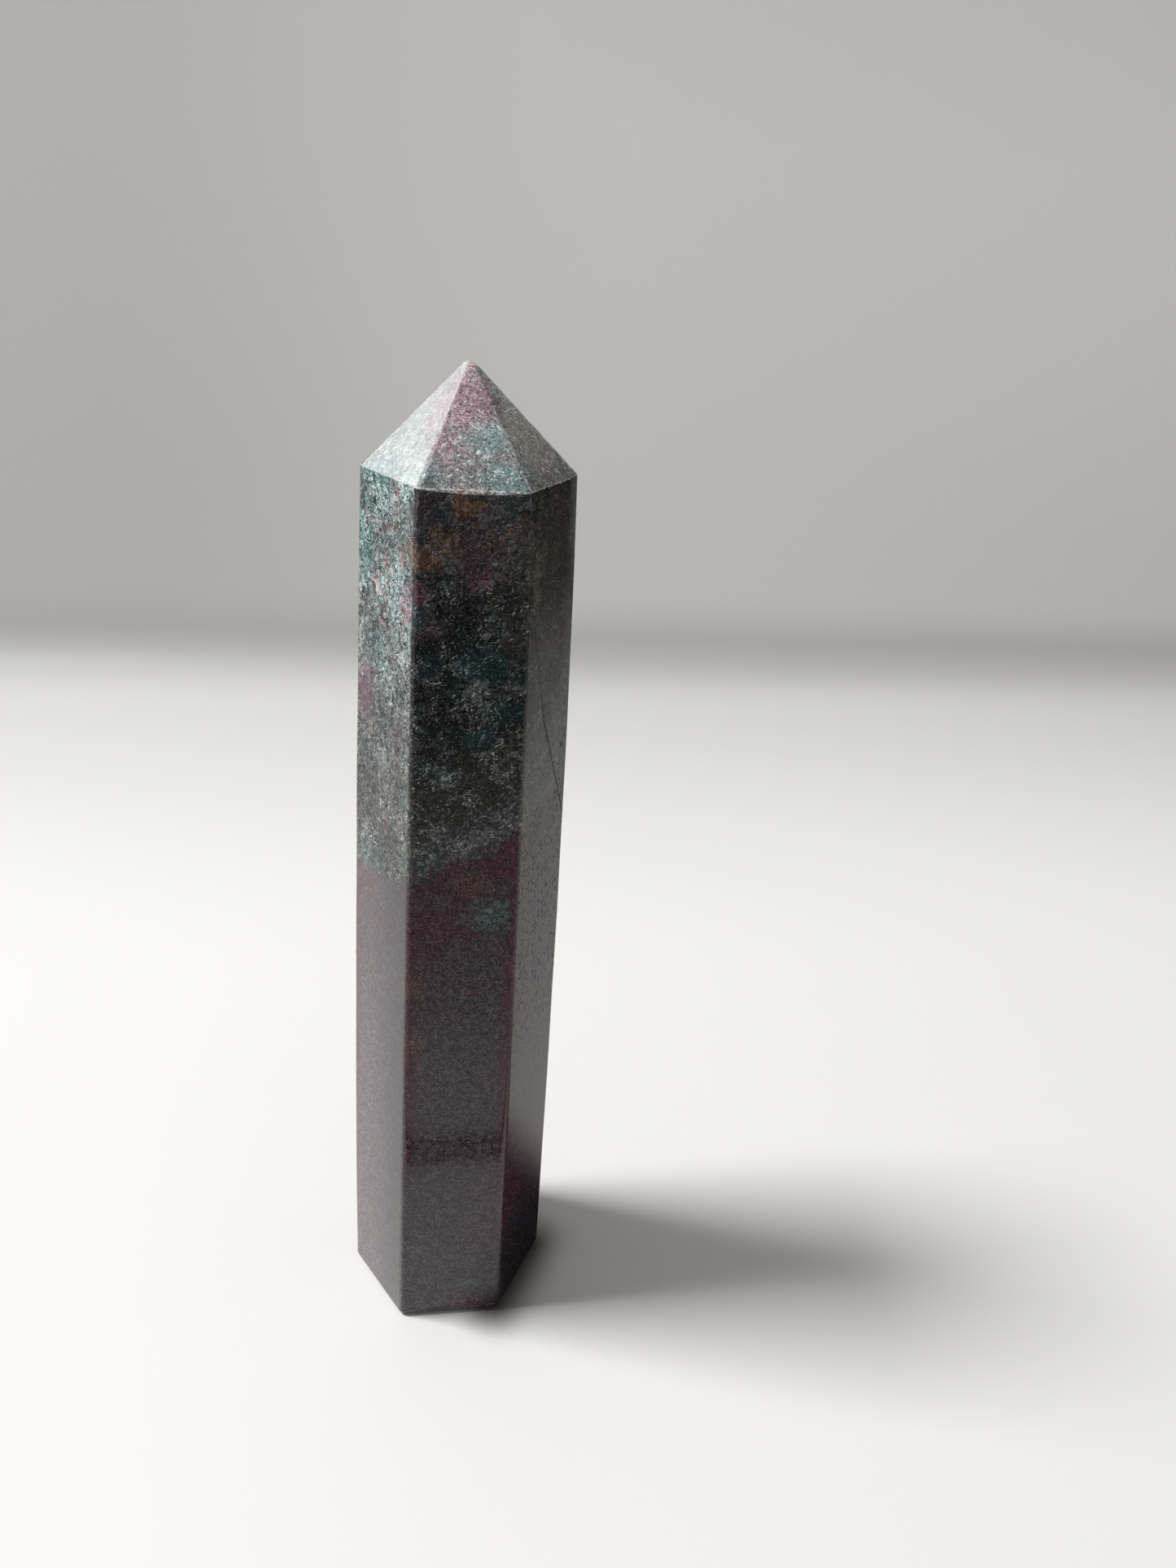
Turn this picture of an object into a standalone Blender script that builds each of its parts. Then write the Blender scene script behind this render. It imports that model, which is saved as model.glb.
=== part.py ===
"""A polished stone tower: six ground faces that lean in towards a six-faced point.

Sizes are in millimetres and are turned into metres where the mesh is made.
The tower stands on Z = 0 with the middle of its widest section on the origin.
The front face looks towards -Y.
"""
import math
from collections import namedtuple

import bmesh
import bpy
from mathutils import Vector

METRES_PER_MM = 0.001

# Heights
TOWER_HEIGHT = 110.0
SHOULDER_HEIGHT = 100.1
SHARP_POINT_HEIGHT = 110.3

# The six ground faces, counted anticlockwise from above.
# bearing: direction that the face looks in, degrees from +X
# foot, shoulder: distance from the axis to the face at the bottom and at the shoulder
# hold: how long the face keeps its foot distance before it leans in, where 1 is a flat face
GroundFace = namedtuple("GroundFace", "name bearing foot shoulder hold")
FACES = (
    GroundFace("front", -90.0, 10.35, 9.15, 2.2),
    GroundFace("right", -30.0, 9.95, 8.85, 3.2),
    GroundFace("back_right", 30.5, 10.30, 9.20, 1.0),
    GroundFace("back", 90.0, 10.25, 8.95, 1.6),
    GroundFace("back_left", 150.0, 10.15, 8.85, 1.6),
    GroundFace("left", 209.5, 10.45, 8.70, 1.55),
)

# Softened edges
UPRIGHT_ROUNDING_FOOT = 0.62
UPRIGHT_ROUNDING_SHOULDER = 0.32
ARC_STEPS = 3
SHOULDER_SOFTENING = 0.10
FOOT_CHAMFER = 0.65

# Heights of the body's rings, as shares of the way from the foot to the shoulder
BODY_SHARES = (0.14, 0.28, 0.42, 0.56, 0.68, 0.78, 0.86, 0.93)

# The point: its axis offset, a ring on its way up, and the worn end
POINT_OFFSET = (-0.2, 0.0)
POINT_MIDDLE_SHARE = 0.5
WORN_END_RADIUS = 0.42
WORN_END_ROUNDING = 0.55

STONE_COLOUR = (0.105, 0.088, 0.094, 1.0)
STONE_ROUGHNESS = 0.28


def clear_scene():
    """Remove the objects that are already in the file."""
    for old in list(bpy.data.objects):
        bpy.data.objects.remove(old, do_unlink=True)


def face_distance(face, height):
    """Distance from the axis to a ground face at a height."""
    share = min(max(height / SHOULDER_HEIGHT, 0.0), 1.0)
    return face.foot - (face.foot - face.shoulder) * share ** face.hold


def corner_between(face, following, height, inset):
    """The point where two neighbouring faces would meet at a height, both moved in by inset."""
    first = math.radians(face.bearing)
    second = math.radians(following.bearing)
    near = face_distance(face, height) - inset
    far = face_distance(following, height) - inset
    spread = math.sin(second - first)
    x = (near * math.sin(second) - far * math.sin(first)) / spread
    y = (far * math.cos(first) - near * math.cos(second)) / spread
    return Vector((x, y))


def rounded_corner(corner, face, following, setback):
    """Points of the arc that takes the place of a corner, from one face to the next."""
    first = math.radians(face.bearing)
    turn = math.radians(following.bearing) - first
    if turn < 0.0:
        turn += 2.0 * math.pi
    along = Vector((-math.sin(first), math.cos(first)))
    outward = Vector((math.cos(first), math.sin(first)))
    radius = setback / math.tan(turn / 2.0)
    centre = corner - along * setback - outward * radius
    points = []
    for step in range(ARC_STEPS + 1):
        bearing = first + turn * step / ARC_STEPS
        points.append(centre + Vector((math.cos(bearing), math.sin(bearing))) * radius)
    return points


def section(height, inset=0.0):
    """The tower's outline at a height, with its rounded corners, as points in a flat loop."""
    share = min(height / SHOULDER_HEIGHT, 1.0)
    setback = UPRIGHT_ROUNDING_FOOT + (UPRIGHT_ROUNDING_SHOULDER - UPRIGHT_ROUNDING_FOOT) * share
    outline = []
    for index, face in enumerate(FACES):
        following = FACES[(index + 1) % len(FACES)]
        corner = corner_between(face, following, height, inset)
        outline.extend(rounded_corner(corner, face, following, setback))
    return outline


def tower_rings():
    """Every ring of the tower from the foot to the worn end, as lists of points."""
    rings = [
        [Vector((p.x, p.y, 0.0)) for p in section(0.0, FOOT_CHAMFER)],
        [Vector((p.x, p.y, FOOT_CHAMFER)) for p in section(FOOT_CHAMFER)],
    ]
    heights = [share * SHOULDER_HEIGHT for share in BODY_SHARES]
    heights.append(SHOULDER_HEIGHT - SHOULDER_SOFTENING)
    for height in heights:
        rings.append([Vector((p.x, p.y, height)) for p in section(height)])

    shoulder = [Vector((p.x, p.y, SHOULDER_HEIGHT)) for p in section(SHOULDER_HEIGHT)]
    point = Vector((*POINT_OFFSET, SHARP_POINT_HEIGHT))
    reach = max((p - point).to_2d().length for p in shoulder)
    shares = (SHOULDER_SOFTENING / reach, POINT_MIDDLE_SHARE, 1.0 - WORN_END_RADIUS / reach)
    for share in shares:
        rings.append([p.lerp(point, share) for p in shoulder])

    worn_height = rings[-1][0].z
    brow = worn_height + (TOWER_HEIGHT - worn_height) * (1.0 - WORN_END_ROUNDING ** 2)
    rings.append([
        Vector((point.x + (p.x - point.x) * WORN_END_ROUNDING,
                point.y + (p.y - point.y) * WORN_END_ROUNDING, brow))
        for p in rings[-1]
    ])
    return rings


def centring_shift(rings):
    """The move that brings the middle of the tower's widest section to the axis."""
    xs = [p.x for ring in rings for p in ring]
    ys = [p.y for ring in rings for p in ring]
    return Vector((-(min(xs) + max(xs)) / 2.0, -(min(ys) + max(ys)) / 2.0, 0.0))


def build_tower_mesh():
    """Skin the rings, close the foot flat and close the top on the worn end."""
    rings = tower_rings()
    shift = centring_shift(rings)
    bm = bmesh.new()
    loops = [[bm.verts.new((p + shift) * METRES_PER_MM) for p in ring] for ring in rings]
    count = len(loops[0])
    for lower, upper in zip(loops, loops[1:]):
        for i in range(count):
            j = (i + 1) % count
            bm.faces.new((lower[i], lower[j], upper[j], upper[i]))
    bm.faces.new(list(reversed(loops[0])))
    top = Vector((*POINT_OFFSET, TOWER_HEIGHT)) + shift
    apex = bm.verts.new(top * METRES_PER_MM)
    for i in range(count):
        bm.faces.new((loops[-1][i], loops[-1][(i + 1) % count], apex))
    bmesh.ops.recalc_face_normals(bm, faces=bm.faces[:])

    mesh = bpy.data.meshes.new("stone_tower")
    bm.to_mesh(mesh)
    bm.free()
    return mesh


def stone_material():
    """Dark polished stone."""
    material = bpy.data.materials.new("ruby_kyanite")
    material.use_nodes = True
    shader = material.node_tree.nodes["Principled BSDF"]
    shader.inputs["Base Color"].default_value = STONE_COLOUR
    shader.inputs["Roughness"].default_value = STONE_ROUGHNESS
    shader.inputs["Metallic"].default_value = 0.0
    return material


def main():
    """Build the tower as one object."""
    clear_scene()
    mesh = build_tower_mesh()
    tower = bpy.data.objects.new("stone_tower", mesh)
    bpy.context.scene.collection.objects.link(tower)
    mesh.materials.append(stone_material())


main()
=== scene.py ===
"""Looks of a polished ruby kyanite tower standing on a pale floor in soft window light.

The tower is one stone. Its sizes are in millimetres and are turned into metres where the meshes
are made. Places on it are given by face: millimetres across from the face's middle line, to the
right as one looks at the face, and millimetres up from the foot.
"""
import logging
import math
from dataclasses import dataclass, field
from enum import Enum
from functools import reduce
from typing import Iterable, Optional, Sequence, Union

import bpy
import numpy as np
from mathutils import Matrix, Vector


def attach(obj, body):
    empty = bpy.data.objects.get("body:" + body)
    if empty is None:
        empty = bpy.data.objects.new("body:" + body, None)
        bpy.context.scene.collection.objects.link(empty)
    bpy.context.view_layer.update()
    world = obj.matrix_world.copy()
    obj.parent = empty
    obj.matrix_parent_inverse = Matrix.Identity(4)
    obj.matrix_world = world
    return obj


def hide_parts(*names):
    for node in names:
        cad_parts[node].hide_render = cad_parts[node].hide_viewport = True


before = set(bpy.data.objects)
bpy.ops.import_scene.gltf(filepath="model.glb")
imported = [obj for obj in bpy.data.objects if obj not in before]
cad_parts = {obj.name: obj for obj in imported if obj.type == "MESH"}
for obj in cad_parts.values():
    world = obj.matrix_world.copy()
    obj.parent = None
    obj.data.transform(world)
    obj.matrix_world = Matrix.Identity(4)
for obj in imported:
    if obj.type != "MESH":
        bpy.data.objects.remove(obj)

LOG = logging.getLogger("stone_tower")

METRES_PER_MM = 0.001
NODE = "stone_tower"
SECTOR = 60.0

Socket = bpy.types.NodeSocket
Numbers = Sequence[float]
Colour = tuple[float, float, float]
Value = Union[float, Socket]
Tone = Union[Colour, Socket]
Tones = tuple[Tone, Tone]


@dataclass(frozen=True)
class Palette:
    """The darkest and the lightest grains of a mineral, as linear colours."""

    dark: Colour
    light: Colour


class Side(Enum):
    """The six upright faces, counted anticlockwise from above."""

    FRONT = 0
    RIGHT = 1
    BACK_RIGHT = 2
    BACK = 3
    BACK_LEFT = 4
    LEFT = 5


class Mineral(Enum):
    """What a patch of the stone is made of. The later ones lie over the earlier ones."""

    TEAL = Palette((0.006, 0.034, 0.036), (0.160, 0.290, 0.285))
    DEEP_TEAL = Palette((0.002, 0.022, 0.026), (0.105, 0.240, 0.240))
    PALE_BLADE = Palette((0.050, 0.058, 0.058), (0.400, 0.420, 0.410))
    ROSE = Palette((0.040, 0.011, 0.024), (0.300, 0.130, 0.195))
    MAROON = Palette((0.024, 0.004, 0.010), (0.105, 0.032, 0.052))
    RUST = Palette((0.055, 0.023, 0.011), (0.330, 0.190, 0.110))
    BLACK = Palette((0.002, 0.003, 0.006), (0.014, 0.018, 0.030))
    ASH = Palette((0.042, 0.038, 0.029), (0.260, 0.238, 0.190))


class Ground(Enum):
    """What the stone is made of between the patches."""

    CHARCOAL = Palette((0.002, 0.003, 0.003), (0.330, 0.350, 0.350))
    SEA_GREY = Palette((0.002, 0.009, 0.009), (0.280, 0.370, 0.365))
    BROWN_GREY = Palette((0.006, 0.003, 0.003), (0.340, 0.295, 0.295))
    ASH_BAND = Palette((0.012, 0.012, 0.010), (0.290, 0.283, 0.262))
    PALE_BAND = Palette((0.022, 0.025, 0.023), (0.260, 0.280, 0.268))
    RUBY = Palette((0.015, 0.003, 0.006), (0.112, 0.046, 0.064))
    RUBY_GREY = Palette((0.010, 0.005, 0.007), (0.115, 0.088, 0.097))
    TEAL_CLOUD = Palette((0.006, 0.020, 0.020), (0.240, 0.370, 0.360))
    ROSE_CLOUD = Palette((0.030, 0.008, 0.016), (0.330, 0.200, 0.240))


@dataclass(frozen=True)
class GroundFace:
    """One upright face as it was ground.

    bearing is the direction that it looks in, in degrees from +X. foot and shoulder are its
    distances from the axis. hold says how long it keeps its foot distance before it leans in.
    """

    bearing: float
    foot: float
    shoulder: float
    hold: float

    @property
    def outward(self) -> np.ndarray:
        """The direction that the face looks in, as X and Y."""
        bearing = math.radians(self.bearing)
        return np.array([math.cos(bearing), math.sin(bearing)])

    @property
    def along(self) -> np.ndarray:
        """The level direction to the right as one looks at the face, as X and Y."""
        return np.array([-self.outward[1], self.outward[0]])


@dataclass(frozen=True)
class Patch:
    """One coloured patch, an oval on a face that fades out at its rim.

    across and up place its middle. wide and tall are half sizes in millimetres, strength is how
    much of it shows, fade is the share of it that the rim takes up, and lean turns it clockwise
    in degrees.
    """

    mineral: Mineral
    side: Side
    across: float
    up: float
    wide: float
    tall: float
    strength: float = 1.0
    fade: float = 0.45
    lean: float = 0.0


@dataclass(frozen=True)
class Crack:
    """A hairline crack on a face, straight from one place to another."""

    side: Side
    start: Numbers
    end: Numbers
    width: float


@dataclass(frozen=True)
class Chip:
    """A small bite out of an edge: its place, radius and depth in millimetres."""

    spot: Vector
    radius: float
    depth: float


def patches(mineral: Mineral, side: Side, *rows: Numbers) -> tuple[Patch, ...]:
    """Patches of one mineral on one face, from rows that hold Patch's numbers in order."""
    return tuple(Patch(mineral, side, *row) for row in rows)


def eased(count: int, evenness: float) -> np.ndarray:
    """A count of numbers from 0 to 1, evenly apart at evenness 1 and closer at both ends below it."""
    steps = np.linspace(0.0, 1.0, count)
    return evenness * steps + (1.0 - evenness) * (0.5 - 0.5 * np.cos(math.pi * steps))


PATCHES: tuple[Patch, ...] = (
    *patches(
        Mineral.TEAL, Side.FRONT,
        (3.5, 99.1, 1.7, 0.7, 0.7), (-3.9, 63.4, 1.6, 1.2, 0.4), (3.0, 57.4, 2.5, 1.8, 0.45, 0.7),
        (-4.9, 88.8, 0.6, 1.0, 0.8), (1.3, 103.9, 1.9, 1.5, 0.8), (3.0, 101.1, 1.9, 1.2),
        (-3.6, 101.3, 1.3, 1.0, 0.55), (1.9, 5.0, 2.2, 0.5, 0.5),
    ),
    *patches(
        Mineral.TEAL, Side.LEFT,
        (-4.0, 99.2, 1.0, 1.0, 0.7), (5.3, 88.9, 0.7, 1.2, 0.7), (4.3, 69.9, 1.1, 1.5, 0.7),
        (-1.0, 83.0, 1.8, 2.0, 0.5), (-2.6, 61.2, 3.0, 1.9, 0.4), (-3.5, 91.5, 1.4, 2.2, 0.6),
        (-1.3, 100.5, 3.0, 1.3, 0.8),
    ),
    *patches(
        Mineral.DEEP_TEAL, Side.FRONT,
        (-4.7, 95.9, 0.6, 0.7, 0.7), (-3.2, 98.0, 0.6, 1.0), (4.3, 93.8, 1.1, 1.3),
        (2.0, 83.9, 3.0, 1.9, 0.8), (-4.0, 83.9, 1.3, 1.2, 0.7), (3.6, 79.6, 1.9, 1.0, 0.7),
        (0.8, 76.9, 1.8, 0.9, 0.75), (-2.7, 73.2, 1.6, 1.0, 0.6),
    ),
    *patches(
        Mineral.DEEP_TEAL, Side.RIGHT,
        (1.8, 97.2, 1.2, 1.6, 0.6),
    ),
    *patches(
        Mineral.DEEP_TEAL, Side.LEFT,
        (-4.0, 95.0, 1.3, 3.2, 0.45),
    ),
    *patches(
        Mineral.PALE_BLADE, Side.FRONT,
        (-1.5, 93.7, 0.9, 0.25, 0.6, 0.45, 10.0), (1.85, 91.8, 0.3, 1.6, 0.7, 0.45, 28.0),
        (1.4, 87.0, 0.3, 0.45, 0.9), (3.3, 87.4, 0.8, 0.4, 0.6),
        (0.6, 65.4, 2.1, 0.5, 0.7, 0.45, -35.0), (0.8, 81.7, 1.0, 0.8, 0.5), (4.5, 82.0, 1.1, 0.6, 0.5),
        (0.4, 102.9, 0.55, 0.2, 0.9),
    ),
    *patches(
        Mineral.ROSE, Side.FRONT,
        (1.3, 94.6, 0.8, 0.6, 0.6), (0.8, 92.1, 1.1, 1.2, 0.75), (-4.7, 90.7, 0.9, 0.9, 0.85),
        (-2.2, 105.6, 0.6, 0.5, 0.9), (-0.6, 107.2, 2.6, 3.6, 0.8), (-2.6, 103.4, 1.4, 2.2, 0.65),
        (2.0, 1.8, 2.4, 0.9, 0.6),
    ),
    *patches(
        Mineral.ROSE, Side.LEFT,
        (-3.5, 78.6, 1.9, 2.6, 0.7, 0.7), (3.4, 76.5, 1.7, 1.2, 0.4, 0.7), (4.3, 89.6, 1.0, 1.4, 0.55),
        (1.3, 65.3, 0.8, 0.7, 0.6), (1.5, 106.2, 2.2, 3.2, 0.75),
    ),
    *patches(
        Mineral.MAROON, Side.FRONT,
        (-4.3, 98.9, 1.0, 1.1, 0.7), (-3.7, 87.6, 1.3, 1.3, 0.5), (-1.05, 97.9, 0.6, 0.5),
        (0.1, 95.0, 1.6, 1.5, 0.75), (-5.3, 42.0, 0.8, 19.0, 0.8), (5.4, 44.0, 0.9, 21.0, 0.9),
        (3.8, 63.6, 2.2, 2.6, 0.7), (-0.5, 96.0, 5.5, 4.0, 0.5),
    ),
    *patches(
        Mineral.MAROON, Side.RIGHT,
        # The wide low patch at (0.0, 10.0) is painted shade: it darkens the right face's foot where the
        # face mirrors the stone's shadow.
        (-1.6, 106.6, 1.3, 2.8, 0.8), (-5.2, 34.0, 1.2, 26.0, 0.8), (0.0, 10.0, 7.0, 18.0, 0.9),
    ),
    *patches(
        Mineral.MAROON, Side.LEFT,
        (-5.4, 40.0, 1.3, 22.0, 0.5),
    ),
    *patches(
        Mineral.RUST, Side.FRONT,
        (-0.4, 98.8, 1.4, 1.2, 0.8), (-2.7, 95.7, 1.4, 1.0, 0.7, 0.6),
        (-4.2, 94.0, 1.5, 1.2, 0.75, 0.6), (3.2, 96.1, 0.5, 0.6, 0.9), (0.3, 109.6, 0.5, 0.4, 0.7),
        (1.2, 61.0, 1.4, 1.0, 0.28, 0.8), (-4.9, 49.0, 0.9, 1.6, 0.22, 0.8),
        (-4.9, 41.5, 0.9, 1.4, 0.22, 0.8),
    ),
    *patches(
        Mineral.RUST, Side.RIGHT,
        (-3.9, 91.5, 0.8, 3.2, 0.75), (-2.4, 94.0, 0.7, 1.6, 0.45),
    ),
    *patches(
        Mineral.RUST, Side.LEFT,
        (-2.2, 104.4, 0.5, 0.4, 0.5),
    ),
    *patches(
        Mineral.BLACK, Side.FRONT,
        (3.9, 90.6, 1.5, 1.8, 0.85),
    ),
    *patches(
        Mineral.BLACK, Side.RIGHT,
        # The wide low patch at (0.0, 4.0) is painted shade: it darkens the right face's foot where the
        # face mirrors the stone's shadow.
        (0.0, 4.0, 8.0, 10.0, 0.85), (1.8, 98.0, 2.4, 2.2, 0.8),
    ),
    *patches(
        Mineral.BLACK, Side.LEFT,
        (-1.9, 97.3, 0.65, 0.8),
    ),
    *patches(
        Mineral.ASH, Side.FRONT,
        (3.5, 86.5, 1.1, 0.8, 0.7),
    ),
    *patches(
        Mineral.ASH, Side.RIGHT,
        (0.8, 103.4, 3.2, 3.0, 0.8), (0.0, 91.0, 6.5, 9.0, 0.9),
    ),
    *patches(
        Mineral.ASH, Side.LEFT,
        (2.7, 73.0, 1.5, 1.4, 0.6),
    ),
)

CRACKS: tuple[Crack, ...] = (
    Crack(Side.RIGHT, (-3.9, 87.3), (-1.0, 77.0), 0.10),
    Crack(Side.RIGHT, (-1.1, 77.3), (5.3, 64.0), 0.13),
)


@dataclass
class TowerShape:
    """The tower's form: the outline at each height and the place of a point on a face.

    roll_depth, roll_width and roll_drop are how deep, how wide and how far down from the shoulder
    the right face falls away beside the edge behind it.
    """

    height: float = 109.8
    shoulder_height: float = 100.1
    sharp_point_height: float = 110.15
    faces: tuple[GroundFace, ...] = (
        GroundFace(-90.0, 10.35, 9.15, 2.2),
        GroundFace(-30.0, 9.95, 8.85, 3.2),
        GroundFace(30.5, 10.30, 9.20, 1.0),
        GroundFace(90.0, 10.25, 8.95, 1.6),
        GroundFace(150.0, 10.15, 8.85, 1.6),
        GroundFace(209.5, 10.45, 8.70, 1.55),
    )
    rounding_foot: float = 0.62
    rounding_shoulder: float = 0.32
    foot_chamfer: float = 0.65
    point_offset: Numbers = (-0.2, 0.0)
    roll_depth: float = 0.24
    roll_width: float = 2.6
    roll_drop: float = 26.0
    face_steps: int = 30
    face_evenness: float = 0.45
    arc_steps: int = 8
    widest_height: float = 30.0

    def distance(self, face: GroundFace, height: float) -> float:
        """Distance from the axis to a ground face at a height."""
        share = min(max(height / self.shoulder_height, 0.0), 1.0)
        return face.foot - (face.foot - face.shoulder) * share ** face.hold

    def half_width(self, side: Side, height: float) -> float:
        """About half the width of a face at a height."""
        return self.distance(self.faces[side.value], height) * math.tan(math.radians(SECTOR / 2.0))

    def corner(self, index: int, height: float, inset: float = 0.0) -> np.ndarray:
        """Where a face and the next one would meet.

        Args:
            index: the face's number.
            height: height above the foot.
            inset: how far both faces are moved in.

        Returns:
            The corner's X and Y.
        """
        face, following = self.faces[index], self.faces[(index + 1) % len(self.faces)]
        near = self.distance(face, height) - inset
        far = self.distance(following, height) - inset
        spread = math.sin(math.radians(following.bearing) - math.radians(face.bearing))
        x = (near * following.outward[1] - far * face.outward[1]) / spread
        y = (far * face.outward[0] - near * following.outward[0]) / spread
        return np.array([x, y])

    def arc(self, index: int, corner: np.ndarray, setback: float) -> np.ndarray:
        """Points of the arc in place of a corner.

        Args:
            index: the number of the face before the corner.
            corner: the sharp corner.
            setback: where the arc starts, measured back from the corner.

        Returns:
            The arc's points, one a row.
        """
        face = self.faces[index]
        first = math.radians(face.bearing)
        second = math.radians(self.faces[(index + 1) % len(self.faces)].bearing)
        turn = (second - first) % (2.0 * math.pi)
        radius = setback / math.tan(turn / 2.0)
        centre = corner - face.along * setback - face.outward * radius
        bearings = first + turn * np.linspace(0.0, 1.0, self.arc_steps + 1)
        return centre + radius * np.stack([np.cos(bearings), np.sin(bearings)], axis=1)

    def section(self, height: float, inset: float = 0.0) -> np.ndarray:
        """The outline at a height, densest next to the rounded corners.

        Args:
            height: height above the foot.
            inset: how far the outline is moved in.

        Returns:
            Points in order round the tower, one a row.
        """
        share = min(height / self.shoulder_height, 1.0)
        setback = self.rounding_foot + (self.rounding_shoulder - self.rounding_foot) * share
        arcs = [self.arc(i, self.corner(i, height, inset), setback) for i in range(len(self.faces))]
        spacing = eased(self.face_steps + 1, self.face_evenness)[1:-1, None]
        outline = []
        for i, arc in enumerate(arcs):
            start, end = arcs[i - 1][-1], arc[0]
            outline += [start + (end - start) * spacing, arc]
        return self.rolled(np.concatenate(outline), height)

    def rolled(self, outline: np.ndarray, height: float) -> np.ndarray:
        """Let the right face fall away beside the edge behind it, most at the shoulder.

        Args:
            outline: the section's points.
            height: the section's height.

        Returns:
            The section's points with the rolled edge.
        """
        face = self.faces[Side.RIGHT.value]
        half = self.half_width(Side.RIGHT, height)
        across = outline @ face.along
        past = np.clip((across - half + self.roll_width) / self.roll_width, 0.0, 1.3)
        lift = np.clip((across + half) / (2.0 * half), 0.0, 1.0)
        nearby = np.clip(outline @ face.outward / self.distance(face, height), 0.0, 1.0) ** 6
        fade = min(max(1.0 - (self.shoulder_height - height) / self.roll_drop, 0.0), 1.0)
        depth = self.roll_depth * fade * (past ** 1.6 - lift) * nearby
        return outline - depth[:, None] * face.outward

    def shift(self) -> np.ndarray:
        """The move that brings the middle of the widest section to the axis.

        Returns:
            The move as X, Y and Z.
        """
        widest = np.concatenate([self.section(self.foot_chamfer), self.section(self.widest_height)])
        middle = (widest.min(axis=0) + widest.max(axis=0)) / 2.0
        return np.array([-middle[0], -middle[1], 0.0])

    def sharp_point(self) -> np.ndarray:
        """Where the six faces of the point would meet."""
        return np.array([*self.point_offset, self.sharp_point_height])

    def place(self, side: Side, across: float, up: float) -> Vector:
        """A place on a face or on the point's face above it.

        Args:
            side: the face.
            across: distance to the right of the face's middle line.
            up: height above the foot.

        Returns:
            The place in millimetres in the part's frame.
        """
        face = self.faces[side.value]
        rise = (up - self.shoulder_height) / (self.sharp_point_height - self.shoulder_height)
        spot = face.outward * self.distance(face, up) + face.along * across
        if rise > 0.0:
            spot = face.outward * face.shoulder * (1.0 - rise) + face.along * across
            spot += np.array(self.point_offset) * rise
        return Vector(np.append(spot, up) + self.shift())

    def turn(self, side: Side, lean: float) -> tuple[float, float, float]:
        """The rotation of a mark that stands on a face and leans clockwise, in radians."""
        return 0.0, lean, math.radians(self.faces[side.value].bearing + 90.0)


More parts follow.
